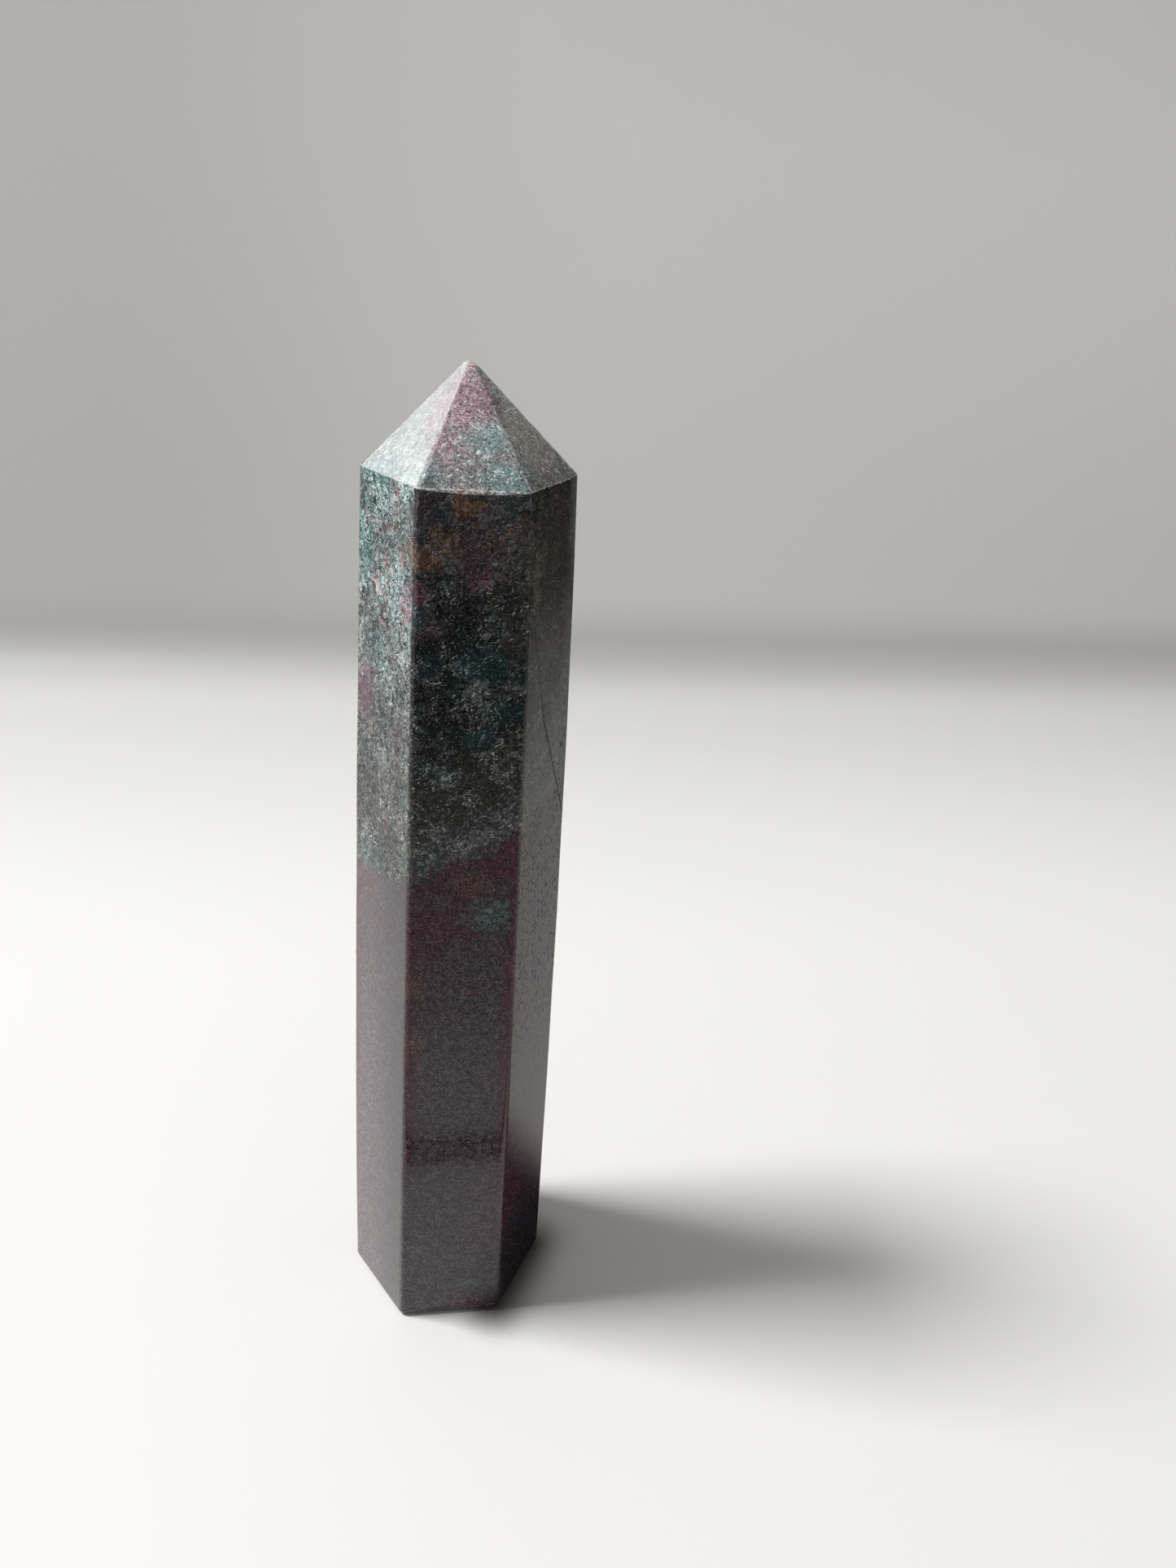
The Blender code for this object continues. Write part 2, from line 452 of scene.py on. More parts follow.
@dataclass
class TowerMesh:
    """Builds the stone's fine surface from its form.

    chamfer_steps are the heights of the chamfer's rings as shares of it, and chamfer_roundness is
    1 for a round one. worn_steps are the rings of the worn end, from its brow to its middle. The
    waves die out within wave_fade of the axis. chip_radii are the smallest and the largest radius
    of a chip, chip_depths are shares of its radius, and chip_aim is the height that chips bite
    towards, as a share of the point's. big_chip is the radius and depth of the one at the point.
    """

    shape: TowerShape
    body_rings: int = 150
    body_evenness: float = 0.6
    point_rings: int = 56
    foot_rings: int = 8
    chamfer_steps: Numbers = (0.08, 0.5, 0.92)
    chamfer_roundness: float = 0.6
    edge_softening: float = 0.11
    softening_steps: Numbers = (0.25, 0.5, 0.75)
    worn_radius: float = 0.62
    worn_steps: Numbers = (0.85, 0.65, 0.4, 0.18)
    shoulder_sag: float = 0.26
    sag_reach: float = 1.5
    sag_from: float = -6.0
    wave_height: float = 0.016
    wave_fade: float = 3.0
    wave_lengths: Numbers = (34.0, 21.0, 13.0)
    waves_each: int = 4
    edge_chips: int = 5
    shoulder_chips: int = 6
    chip_radii: Numbers = (0.2, 0.42)
    chip_depths: Numbers = (0.08, 0.18)
    chip_aim: float = 0.85
    big_chip_offset: Numbers = (0.35, -0.25, -0.4)
    big_chip: Numbers = (0.55, 0.16)
    seed: int = 7

    @staticmethod
    def at_height(outline: np.ndarray, height: float) -> np.ndarray:
        """A flat outline lifted to a height."""
        return np.column_stack([outline, np.full(len(outline), height)])

    def foot_section(self) -> list[np.ndarray]:
        """The rings of the flat foot and its chamfer, from the middle outwards.

        Returns:
            The points of each ring, one a row.
        """
        shape = self.shape
        foot = shape.section(0.0, shape.foot_chamfer)
        shares = np.linspace(0.0, 1.0, self.foot_rings + 1)[1:]
        rings = [self.at_height(foot * share, 0.0) for share in shares]
        for lift in self.chamfer_steps:
            height = shape.foot_chamfer * lift
            hollow = 1.0 - math.sqrt(1.0 - (1.0 - lift) ** 2)
            inset = shape.foot_chamfer * hollow * self.chamfer_roundness
            inset += shape.foot_chamfer * (1.0 - lift) * (1.0 - self.chamfer_roundness)
            rings.append(self.at_height(shape.section(height, inset), height))
        return rings

    def body_section(self) -> list[np.ndarray]:
        """The rings from the chamfer to the shoulder, closer together at both ends.

        Returns:
            The points of each ring, one a row.
        """
        start = self.shape.foot_chamfer
        end = self.shape.shoulder_height - self.edge_softening
        heights = start + (end - start) * eased(self.body_rings, self.body_evenness)
        return [self.at_height(self.shape.section(height), height) for height in heights]

    def point_section(self) -> list[np.ndarray]:
        """The rings of the six-faced point, from the softened shoulder to its worn end.

        Returns:
            The points of each ring, one a row.
        """
        shape = self.shape
        outline = shape.section(shape.shoulder_height)
        shoulder = self.at_height(outline, shape.shoulder_height)
        below = self.at_height(outline, shape.shoulder_height - self.edge_softening)
        sharp = shape.sharp_point()
        reach = float(np.linalg.norm((shoulder - sharp)[:, :2], axis=1).max())
        soft = self.edge_softening / reach
        above = shoulder + (sharp - shoulder) * soft
        rings = []
        for share in self.softening_steps:
            straight = below * (1.0 - share) ** 2 + above * share ** 2
            rings.append(straight + shoulder * (2.0 * share * (1.0 - share)))
        last = 1.0 - self.worn_radius / reach
        steps = np.linspace(0.0, 1.0, self.point_rings)
        for step in 0.8 * steps + 0.2 * steps ** 2:
            rings.append(shoulder + (sharp - shoulder) * (soft + (last - soft) * step))
        brow = rings[-1]
        worn_height = float(brow[0, 2])
        for share in self.worn_steps:
            ring = sharp + (brow - sharp) * share
            ring[:, 2] = worn_height + (shape.height - worn_height) * (1.0 - share ** 2)
            rings.append(ring)
        return rings

    def waves(self, points: np.ndarray) -> np.ndarray:
        """The faint unevenness that hand polishing leaves.

        Args:
            points: the surface, one point a row.

        Returns:
            A distance for each point.
        """
        random = np.random.default_rng(self.seed)
        total = np.zeros(len(points))
        for length in self.wave_lengths:
            for _ in range(self.waves_each):
                direction = random.normal(size=3)
                direction /= np.linalg.norm(direction)
                phase = random.uniform(0.0, 2.0 * math.pi)
                total += np.sin(points @ direction * (2.0 * math.pi / length) + phase)
        return total * self.wave_height / math.sqrt(self.waves_each * len(self.wave_lengths))

    def chips(self) -> list[Chip]:
        """Small bites along the edges of the shoulder and the point.

        Returns:
            The chips.
        """
        random = np.random.default_rng(self.seed + 1)
        level, sharp = self.shape.shoulder_height, self.shape.sharp_point()
        corners = [np.append(self.shape.corner(i, level), level) for i in range(len(Side))]
        found = []
        for i, low in enumerate(corners):
            for start, end, count in (
                (low, sharp, self.edge_chips), (corners[i - 1], low, self.shoulder_chips),
            ):
                for _ in range(count):
                    spot = start + (end - start) * random.uniform(0.03, 0.97)
                    radius = random.uniform(*self.chip_radii)
                    found.append(Chip(Vector(spot), radius, radius * random.uniform(*self.chip_depths)))
        found.append(Chip(Vector(sharp) + Vector(self.big_chip_offset), *self.big_chip))
        return found

    def worn(self, points: np.ndarray) -> np.ndarray:
        """The surface moved in by the waves, the sag of the shoulder and the chips.

        Args:
            points: the surface, one point a row.

        Returns:
            The moved points.
        """
        inward = -points * np.array([1.0, 1.0, 0.0])
        length = np.linalg.norm(inward, axis=1)
        inward /= np.maximum(length, 0.3)[:, None]
        depth = self.waves(points) + self.wave_height
        depth = np.where(points[:, 2] > self.shape.foot_chamfer, depth, 0.0)
        depth *= np.clip(length / self.wave_fade, 0.0, 1.0)
        moved = points + inward * depth[:, None]
        moved[:, 2] -= self.sag(points)
        middle = np.array([0.0, 0.0, self.chip_aim * self.shape.sharp_point_height])
        for chip in self.chips():
            spot = np.array(chip.spot)
            gap = np.linalg.norm(points - spot, axis=1) / chip.radius
            bite = chip.depth * np.clip(1.0 - gap ** 2, 0.0, 1.0) ** 2
            moved += bite[:, None] * (middle - spot) / np.linalg.norm(middle - spot)
        return moved

    def sag(self, points: np.ndarray) -> np.ndarray:
        """How far the front's shoulder line dips between its corners.

        Args:
            points: the surface, one point a row.

        Returns:
            A distance for each point.
        """
        half = self.shape.half_width(Side.FRONT, self.shape.shoulder_height)
        bow = np.clip(1.0 - (points[:, 0] / half) ** 2, 0.0, 1.0)
        near = np.exp(-((points[:, 2] - self.shape.shoulder_height) / self.sag_reach) ** 2)
        return self.shoulder_sag * bow * near * (points[:, 1] < self.sag_from)

    def build(self) -> bpy.types.Object:
        """Skin the rings.

        Returns:
            The stone in metres.
        """
        rings = self.foot_section() + self.body_section() + self.point_section()
        shift = self.shape.shift()
        top = np.array([*self.shape.point_offset, self.shape.height]) + shift
        points = np.concatenate([self.worn(np.concatenate(rings)) + shift, top[None], shift[None]])
        count, last = len(rings[0]), (len(rings) - 1) * len(rings[0])
        steps = [(i, (i + 1) % count) for i in range(count)]
        faces = []
        for low in range(0, last, count):
            high = low + count
            faces += [(low + i, low + j, high + j, high + i) for i, j in steps]
        for i, j in steps:
            faces += [(last + i, last + j, last + count), (j, i, last + count + 1)]
        mesh = bpy.data.meshes.new("polished_stone")
        mesh.from_pydata([tuple(p) for p in points * METRES_PER_MM], [], faces)
        mesh.validate()
        mesh.shade_smooth()
        mesh.update()
        stone = bpy.data.objects.new("polished_stone", mesh)
        bpy.context.scene.collection.objects.link(stone)
        return stone


@dataclass
class Sheet:
    """A node tree that is written from the left to the right."""

    tree: bpy.types.NodeTree

    def feed(self, target: Socket, value: object) -> None:
        """Link a socket into a target, or set the target's own value.

        Args:
            target: an input.
            value: a socket, a number, a vector or a colour without alpha.
        """
        if isinstance(value, bpy.types.NodeSocket):
            self.tree.links.new(value, target)
        elif target.type == "RGBA":
            target.default_value = (*value, 1.0)
        else:
            target.default_value = value

    def node(
        self, kind: str, inputs: Optional[dict[Union[int, str], object]] = None, **settings: object
    ) -> bpy.types.Node:
        """Add a node.

        Args:
            kind: the node's type.
            inputs: what goes into its inputs, by their names or numbers.
            settings: the node's properties.

        Returns:
            The node.
        """
        made = self.tree.nodes.new(kind)
        count = len(self.tree.nodes)
        made.location = (count * 40.0, -(count % 7) * 160.0)
        for name, value in settings.items():
            setattr(made, name, value)
        for name, value in (inputs or {}).items():
            self.feed(made.inputs[name], value)
        return made

    def math(self, operation: str, a: Value, b: Value = 0.0, clamp: bool = False) -> Socket:
        """One sum, product or other operation on two values."""
        return self.node("ShaderNodeMath", {0: a, 1: b}, operation=operation, use_clamp=clamp).outputs[0]

    def plus(self, a: Value, b: Value) -> Socket:
        """The sum of two values."""
        return self.math("ADD", a, b)

    def minus(self, a: Value, b: Value) -> Socket:
        """The first value less the second."""
        return self.math("SUBTRACT", a, b)

    def rest(self, value: Value) -> Socket:
        """What a value lacks of 1."""
        return self.minus(1.0, value)

    def apart(self, a: Value, b: Value) -> Socket:
        """How far two values are apart."""
        return self.math("ABSOLUTE", self.minus(a, b))

    def times(self, *values: Value) -> Socket:
        """The product of two or more values."""
        return reduce(lambda a, b: self.math("MULTIPLY", a, b), values)

    def highest(self, values: Iterable[Value]) -> Socket:
        """The highest of several values, which are joined one by one as they are made."""
        return reduce(lambda a, b: self.math("MAXIMUM", a, b), values)

    def vector(self, operation: str, a: object, b: object) -> Socket:
        """One operation on two vectors."""
        made = self.node("ShaderNodeVectorMath", {0: a, 1: b}, operation=operation)
        return made.outputs["Value" if operation == "DOT_PRODUCT" else "Vector"]

    def scaled(self, vector: object, scale: Value) -> Socket:
        """A vector or colour times a value."""
        inputs = {0: vector, "Scale": scale}
        return self.node("ShaderNodeVectorMath", inputs, operation="SCALE").outputs["Vector"]

    def shifted(self, a: object, b: object) -> Socket:
        """The sum of two vectors or colours."""
        return self.vector("ADD", a, b)

    def span(self, value: Value, low: Value, high: Value, to_low: Value = 0, to_high: Value = 1) -> Socket:
        """A value carried smoothly from one range to another."""
        ends = {"Value": value, "From Min": low, "From Max": high, "To Min": to_low, "To Max": to_high}
        return self.node("ShaderNodeMapRange", ends, interpolation_type="SMOOTHSTEP").outputs["Result"]

    def mix(self, share: Value, a: Tone, b: Tone) -> Socket:
        """Two colours mixed by a share."""
        return self.node("ShaderNodeMix", {"Factor": share, 6: a, 7: b}, data_type="RGBA").outputs[2]

    def between(self, share: Value, a: Value, b: Value) -> Socket:
        """Two values mixed by a share."""
        return self.node("ShaderNodeMix", {"Factor": share, 2: a, 3: b}, data_type="FLOAT").outputs[0]

    def noise(
        self, place: Socket, scale: float, detail: float = 2.0, roughness: float = 0.5, output: str = "Fac"
    ) -> Socket:
        """Cloudy noise from 0 to 1, with scale in clouds per millimetre."""
        inputs = {"Vector": place, "Scale": scale, "Detail": detail, "Roughness": roughness}
        return self.node("ShaderNodeTexNoise", inputs).outputs[output]

    def cells(self, place: Socket, scale: Value = 1.0) -> tuple[Socket, Sequence[Socket]]:
        """The distance to the middle of a crystal grain, and three random values of that grain."""
        made = self.node("ShaderNodeTexVoronoi", {"Vector": place, "Scale": scale}).outputs
        return made["Distance"], self.node("ShaderNodeSeparateColor", {0: made["Color"]}).outputs[:3]

    def nearness(self, place: Socket) -> Socket:
        """1 at the origin, falling evenly to 0 at a distance of 1."""
        made = self.node("ShaderNodeTexGradient", {"Vector": place}, gradient_type="SPHERICAL")
        return made.outputs["Fac"]

    def placed(self, place: Socket, spot: Numbers, turn: Numbers, size: Numbers) -> Socket:
        """A place measured from a spot, along turned axes, in units of a size."""
        inputs = {"Vector": place, "Location": spot, "Rotation": turn, "Scale": size}
        return self.node("ShaderNodeMapping", inputs, vector_type="TEXTURE").outputs["Vector"]

    def parts(self, value: Socket) -> Sequence[Socket]:
        """A vector's three values."""
        return self.node("ShaderNodeSeparateXYZ", {0: value}).outputs[:3]


@dataclass
class RockPattern(Sheet):
    """The stone's colour and grain, as a node group that every finish of the stone uses.

    Its methods share the place on the stone in millimetres, bent copies of that place, the
    bearing, the height above the boundary, and masks of the ruby-rich rock and of two faces.
    """

    shape: TowerShape = field(default_factory=TowerShape)
    boundary_height: float = 64.0
    boundary_slope: float = 0.55
    boundary_waves: float = 4.0
    left_painted_lift: float = 1.55
    patch_reach: float = 2.5
    needle_size: Numbers = (0.19, 0.19, 0.95)
    speck_size: Numbers = (0.26, 0.26, 0.42)
    pit_size: Numbers = (0.25, 0.25, 0.62)
    fibre_turns: tuple[Numbers, ...] = (
        (0.5, 0.3, 0.2), (1.2, -0.6, 1.4), (-0.4, 1.1, 0.7), (2.1, 0.2, -0.9),
    )
    massive: tuple[Mineral, ...] = (Mineral.ROSE, Mineral.MAROON, Mineral.RUST)
    blade_colour: Colour = (0.54, 0.57, 0.565)
    hollow_colour: Colour = (0.004, 0.004, 0.005)
    bruise_colour: Colour = (0.70, 0.685, 0.67)

    def __post_init__(self) -> None:
        """Make the group's sockets and the values that its methods share."""
        for name, kind, way in (
            ("Frost", "NodeSocketFloat", "INPUT"),
            ("Color", "NodeSocketColor", "OUTPUT"),
            ("Roughness", "NodeSocketFloat", "OUTPUT"),
            ("Hollow", "NodeSocketFloat", "OUTPUT"),
            ("Height", "NodeSocketFloat", "OUTPUT"),
        ):
            self.tree.interface.new_socket(name, in_out=way, socket_type=kind)
        self.frost: Socket = self.node("NodeGroupInput").outputs["Frost"]
        spot = self.node("ShaderNodeTexCoord").outputs["Object"]
        self.place: Socket = self.scaled(spot, 1.0 / METRES_PER_MM)
        self.x, self.y, self.z = self.parts(self.place)
        wander, ripple = self.wandering(0.8, 3.0), self.wandering(3.2, 2.0)
        self.bent: Socket = self.shifted(self.place, self.scaled(wander, 1.3))
        self.warped: Socket = self.shifted(self.shifted(self.place, self.scaled(wander, 3.0)), ripple)
        self.ragged: Socket = self.times(self.minus(self.noise(self.place, 2.0, 4.0, 0.7), 0.5), 2.2)
        self.above: Socket = self.above_boundary()
        self.ruby: Socket = self.span(self.above, 0.9, -0.9)
        self.bearing: Socket = self.math("DEGREES", self.math("ARCTAN2", self.y, self.x))
        self.left, self.right = self.sector(Side.LEFT), self.sector(Side.RIGHT)

    def wandering(self, scale: float, detail: float) -> Socket:
        """A vector that changes from place to place, from -0.5 to 0.5 each way."""
        colour = self.noise(self.place, scale, detail, output="Color")
        return self.vector("SUBTRACT", colour, (0.5, 0.5, 0.5))

    def above_boundary(self) -> Socket:
        """Height above the slanting wavy boundary that the ruby-rich rock ends at.

        Returns:
            The height in millimetres, below 0 in the ruby-rich rock.
        """
        x, _, z = self.parts(self.warped)
        level = self.plus(self.boundary_height, self.times(x, self.boundary_slope))
        wave = self.times(self.minus(self.noise(self.warped, 0.25, 3.0), 0.5), self.boundary_waves)
        return self.minus(self.minus(z, level), wave)

    def sector(self, side: Side) -> Socket:
        """1 on a face and on the point's face above it, and 0 on the others."""
        middle = (self.shape.faces[side.value].bearing + 180.0) % 360.0 - 180.0
        return self.span(self.apart(self.bearing, middle), 30.6, 29.0)

    def build(self) -> bpy.types.NodeTree:
        """Write the group.

        Returns:
            A node tree with the input Frost and the outputs Color, Roughness, Hollow and Height,
            the last three from 0 to 1.
        """
        tones, even, bladed = self.minerals()
        pale, thin_dark = self.needles()
        granules = self.math("POWER", self.shards(self.place, (5.6, 10.0, 2.6), 0.24, (0.14, 0.86)), 1.3)
        kyanite = self.kyanite(pale, thin_dark, bladed)
        grain = self.between(even, kyanite, self.ruby_rock(granules))
        over = self.times(pale, grain, self.rest(even), 0.9)
        colour = self.mix(over, self.mix(grain, *tones), self.blade_colour)
        hollow = self.hollow()
        colour = self.mix(self.times(hollow, 0.85), colour, self.hollow_colour)
        colour = self.painted_glints(self.left_painted_light(self.frosted(colour)))
        worn = self.worn_edges()
        self.node("NodeGroupOutput", {
            "Color": self.mix(worn, colour, self.bruise_colour),
            "Roughness": self.highest((grain, worn)),
            "Hollow": hollow,
            "Height": self.minus(granules, self.times(hollow, 2.0)),
        })
        return self.tree

    def laid(self, tones: Tones, share: Value, palette: Palette) -> Tones:
        """The darkest and lightest colours with a palette laid over a share of them."""
        return self.mix(share, tones[0], palette.dark), self.mix(share, tones[1], palette.light)

    def minerals(self) -> tuple[Tones, Socket, Socket]:
        """The rock between the patches with the patches laid over it.

        Returns:
            The darkest and lightest grain colours, the mask of even rock without needles, and
            the mask of the pale blades.
        """
        tones = self.ground()
        even = self.highest((self.ruby, self.span(self.z, 100.0, 106.0, 0.0, 0.75)))
        ragged = self.math("DIVIDE", self.ragged, self.patch_reach)
        masks = {}
        for mineral in Mineral:
            mask = self.highest(self.patch(patch, ragged) for patch in PATCHES if patch.mineral is mineral)
            tones = self.laid(tones, mask, mineral.value)
            if mineral in self.massive:
                even = self.highest((even, self.times(mask, 0.8)))
            masks[mineral] = mask
        return tones, even, masks[Mineral.PALE_BLADE]

    def cloud(self, number: int, scale: float, low: float, high: float) -> Socket:
        """A soft cloud mask of its own for every number."""
        moved = self.shifted(self.place, (31.0 * number, -17.0 * number, 23.0 * number))
        return self.span(self.noise(moved, scale, 4.0, 0.62), low, high)

    def ground(self) -> Tones:
        """The rock between the patches, with soft clouds of the same minerals on the faces behind.

        Returns:
            Its darkest and lightest grain colours.
        """
        grey = self.plus(self.noise(self.place, 0.34, 4.0, 0.65), self.times(self.above, -0.012))
        # More grey ruby on the left face, partly its own tone and partly painted sheen.
        grey = self.plus(self.span(grey, 0.50, 0.68), self.times(self.left, 0.5))
        behind = self.span(self.y, 2.0, 5.0)
        sea = self.times(self.left, self.span(self.z, 80.0, 96.0, 0.30, 0.95))
        layers = (
            (Ground.SEA_GREY, self.highest((self.cloud(1, 0.30, 0.48, 0.60), sea))),
            (Ground.BROWN_GREY, self.cloud(2, 0.36, 0.52, 0.62)),
            (Ground.ASH_BAND, self.span(self.above, 13.0, 10.0)),
            (Ground.PALE_BAND, self.span(self.above, 6.0, 3.0)),
            (Ground.TEAL_CLOUD, self.times(behind, self.cloud(3, 0.22, 0.50, 0.62))),
            (Ground.ROSE_CLOUD, self.times(behind, self.cloud(4, 0.30, 0.57, 0.66))),
            (Ground.RUBY, self.ruby),
            (Ground.RUBY_GREY, self.math("MULTIPLY", self.ruby, grey, clamp=True)),
        )
        tones = (Ground.CHARCOAL.value.dark, Ground.CHARCOAL.value.light)
        for ground, share in layers:
            tones = self.laid(tones, share, ground.value)
        return tones

    def patch(self, patch: Patch, ragged: Socket) -> Socket:
        """Where a patch lies.

        Args:
            patch: the patch.
            ragged: what breaks up its rim.

        Returns:
            A mask from 0 to the patch's strength.
        """
        reach = self.patch_reach
        spot = self.shape.place(patch.side, patch.across, patch.up)
        turn = self.shape.turn(patch.side, math.radians(patch.lean))
        deep = min(patch.wide, patch.tall) + 0.8
        size = [half * reach for half in (patch.wide, deep, patch.tall)]
        inside = self.minus(self.nearness(self.placed(self.warped, spot, turn, size)), ragged)
        rim = (1.0 - (1.0 + patch.fade) / reach, 1.0 - (1.0 - patch.fade) / reach)
        return self.span(inside, *rim, 0.0, patch.strength)

    def shards(self, place: Socket, scales: Numbers, cloudy: float, reach: Numbers) -> Socket:
        """Random light and dark shards of two sizes over a cloudy ground.

        Args:
            place: where the surface is.
            scales: large shards, small shards and clouds per millimetre.
            cloudy: the share of the clouds.
            reach: what turns into 0 and 1.

        Returns:
            The light and dark, from 0 to 1.
        """
        large = self.cells(place, scales[0])[1][0]
        small = self.cells(place, scales[1])[1][1]
        cloud = self.span(self.noise(place, scales[2], 4.0, 0.7), 0.32, 0.68)
        total = self.times(self.plus(large, small), (1.0 - cloudy) / 2.0)
        return self.span(self.plus(total, self.times(cloud, cloudy)), *reach)

    def needles(self) -> tuple[Socket, Socket]:
        """Thin needles in tufts that lie in a few directions.

        Returns:
            The mask of the pale ones, weaker on the right face, and the mask of the dark ones.
        """
        tufts = [self.tuft((7.3 * i, -4.1 * i, 5.7 * i), turn) for i, turn in enumerate(self.fibre_turns)]
        pale, thin_dark = (self.highest(kind) for kind in zip(*tufts))
        return self.times(pale, self.between(self.right, 1.0, 0.45)), thin_dark

    def tuft(self, offset: Numbers, turn: Numbers) -> tuple[Socket, Socket]:
        """Thin blades that lie in tufts in one direction.

        Args:
            offset: what sets these tufts apart from the others.
            turn: the direction of the blades.

        Returns:
            The masks of the pale ones and the dark ones.
        """
        distance, (first, second, _) = self.cells(self.placed(self.bent, offset, turn, self.needle_size))
        clump = self.span(self.noise(self.shifted(self.bent, offset), 0.8, 3.0, 0.65), 0.46, 0.58)
        core = self.times(self.span(distance, 0.62, 0.30), clump)
        pale = self.times(core, self.span(first, 0.50, 1.0))
        return pale, self.times(core, self.span(second, 0.32, 0.72))

    def kyanite(self, pale: Socket, thin_dark: Socket, bladed: Socket) -> Socket:
        """Light and dark of the flakes and needles in the kyanite.

        Args:
            pale: the pale needles.
            thin_dark: the dark needles.
            bladed: the patches of pale blades.

        Returns:
            The light and dark, 0 for the darkest.
        """
        coarse = self.shards(self.warped, (2.3, 4.6, 1.7), 0.42, (0.34, 0.84))
        flaky = self.shards(self.warped, (2.0, 4.6, 1.5), 0.32, (0.31, 0.69))
        cloud = self.span(self.noise(self.warped, 0.36, 4.0, 0.65), 0.40, 0.60, 0.20, 1.0)
        banded = self.between(self.span(self.above, 13.0, 8.0), 0.34, 0.85)
        felt = self.times(self.math("POWER", coarse, 1.6), banded)
        felt = self.times(self.plus(felt, self.times(pale, 1.05)), cloud)
        bright = self.plus(self.plus(self.times(flaky, 0.80), 0.06), self.times(pale, 0.75))
        light = self.between(self.left, self.highest((felt, self.times(flaky, bladed))), bright)
        return self.times(light, self.rest(self.times(thin_dark, 0.90)))

    def ruby_rock(self, granules: Socket) -> Socket:
        """Light and dark of the small even granules, calmer on the left face."""
        broad = self.span(self.noise(self.place, 1.1, 3.0, 0.6), 0.36, 0.64, 0.72, 1.38)
        return self.between(self.times(self.left, 0.4), self.times(granules, broad), 0.45)

    def hollow(self) -> Socket:
        """Where the surface is sunk and black: cracks, pits and mica specks."""
        kinds = (self.highest(self.crack(crack) for crack in CRACKS), self.pits(), self.specks())
        return self.times(self.highest(kinds), self.rest(self.times(self.frost, 0.65)))

    def specks(self) -> Socket:
        """Black mica specks that took no polish, most of them in the kyanite.

        Returns:
            Their mask.
        """
        lying = self.placed(self.warped, (0.0, 0.0, 0.0), (0.2, -0.3, 0.1), self.speck_size)
        distance, (_, pick, _) = self.cells(lying)
        first, last = self.between(self.left, 0.80, 0.68), self.between(self.left, 0.88, 0.78)
        core = self.times(self.span(distance, 0.62, 0.35), self.span(pick, first, last))
        return self.times(core, self.between(self.ruby, 0.8, 0.0))

    def crack(self, crack: Crack) -> Socket:
        """A hairline crack.

        Args:
            crack: where it runs.

        Returns:
            A mask that is 1 in the crack's middle.
        """
        start, end = np.array(crack.start), np.array(crack.end)
        run = end - start
        spot = self.shape.place(crack.side, *((start + end) / 2.0))
        turn = self.shape.turn(crack.side, math.atan2(*run))
        near = self.placed(self.place, spot, turn, (crack.width, 1.5, math.hypot(*run) / 2.0))
        side, _, along = self.parts(near)
        side = self.plus(side, self.times(self.ragged, 1.2))
        line = self.span(self.math("ABSOLUTE", side), 1.0, 0.3)
        ends = self.span(self.math("ABSOLUTE", along), 1.0, 0.96)
        return self.times(line, ends, self.span(self.x, 4.0, 5.0))

    def pits(self) -> Socket:
        """Short upright pits where soft grains were plucked out of the right face.

        Returns:
            Their mask.
        """
        lying = self.placed(self.place, (0.0, 0.0, 0.0), (0.0, 0.06, 0.0), self.pit_size)
        distance, picks = self.cells(lying)
        core = self.times(self.span(distance, 0.60, 0.20, 0.0, 0.8), self.span(picks[2], 0.35, 0.85))
        return self.times(core, self.times(self.right, self.ruby, self.span(self.z, 32.0, 46.0)))

    def frosted(self, colour: Socket) -> Socket:
        """A colour seen through the mottled white haze of fine scratches.

        Args:
            colour: the polished colour.

        Returns:
            The frosted colour, where the finish has frost.
        """
        mottle = self.span(self.noise(self.place, 1.4, 4.0, 0.7), 0.36, 0.64, 0.70, 1.34)
        colour = self.scaled(colour, self.between(self.frost, 1.0, mottle))
        softened = {"Color": colour, "Gamma": self.rest(self.times(self.frost, 0.22))}
        colour = self.node("ShaderNodeGamma", softened).outputs["Color"]
        colour = self.scaled(colour, self.plus(1.0, self.times(self.frost, 0.75)))
        haze = self.times(self.frost, self.between(self.right, 1.0, 0.4))
        return self.shifted(colour, self.scaled((0.085, 0.083, 0.083), haze))

    def left_painted_light_factor(self) -> Socket:
        """How much paler the left face is, partly its own tone and partly painted window light and sheen:
        cloudy in the kyanite, paler towards the back in the ruby rock.

        Returns:
            What its colour is multiplied by.
        """
        across = self.vector("DOT_PRODUCT", self.place, (*self.shape.faces[Side.LEFT.value].along, 0.0))
        forward = self.math("POWER", self.span(across, -6.5, 5.8), 1.7)
        ruby_painted_light = self.times(self.between(forward, 3.05, 1.0), self.span(self.z, 30.0, 58.0, 1.04, 0.80))
        cloud = self.span(self.noise(self.place, 0.24), 0.36, 0.64, 0.76, 1.34)
        cloud = self.times(cloud, self.span(self.z, 72.0, 97.0, 0.66, 1.30), self.left_painted_lift)
        return self.between(self.ruby, cloud, ruby_painted_light)

    def left_painted_light(self, colour: Socket) -> Socket:
        """A colour made paler on the left face: partly the stone's own paler tone, partly painted window
        light and sheen.

        Args:
            colour: the rock's colour.

        Returns:
            The colour, paler on the left face and the same elsewhere.
        """
        polished = self.times(self.left, self.rest(self.times(self.frost, 0.6)))
        colour = self.scaled(colour, self.between(polished, 1.0, self.left_painted_light_factor()))
        # Painted sheen: the frosted left face of the point and the left ruby rock are mixed towards pale
        # grey.
        colour = self.mix(self.times(self.left, self.frost, 0.6), colour, (0.54, 0.56, 0.555))
        return self.mix(self.times(self.left, self.ruby, 0.22), colour, (0.30, 0.305, 0.31))

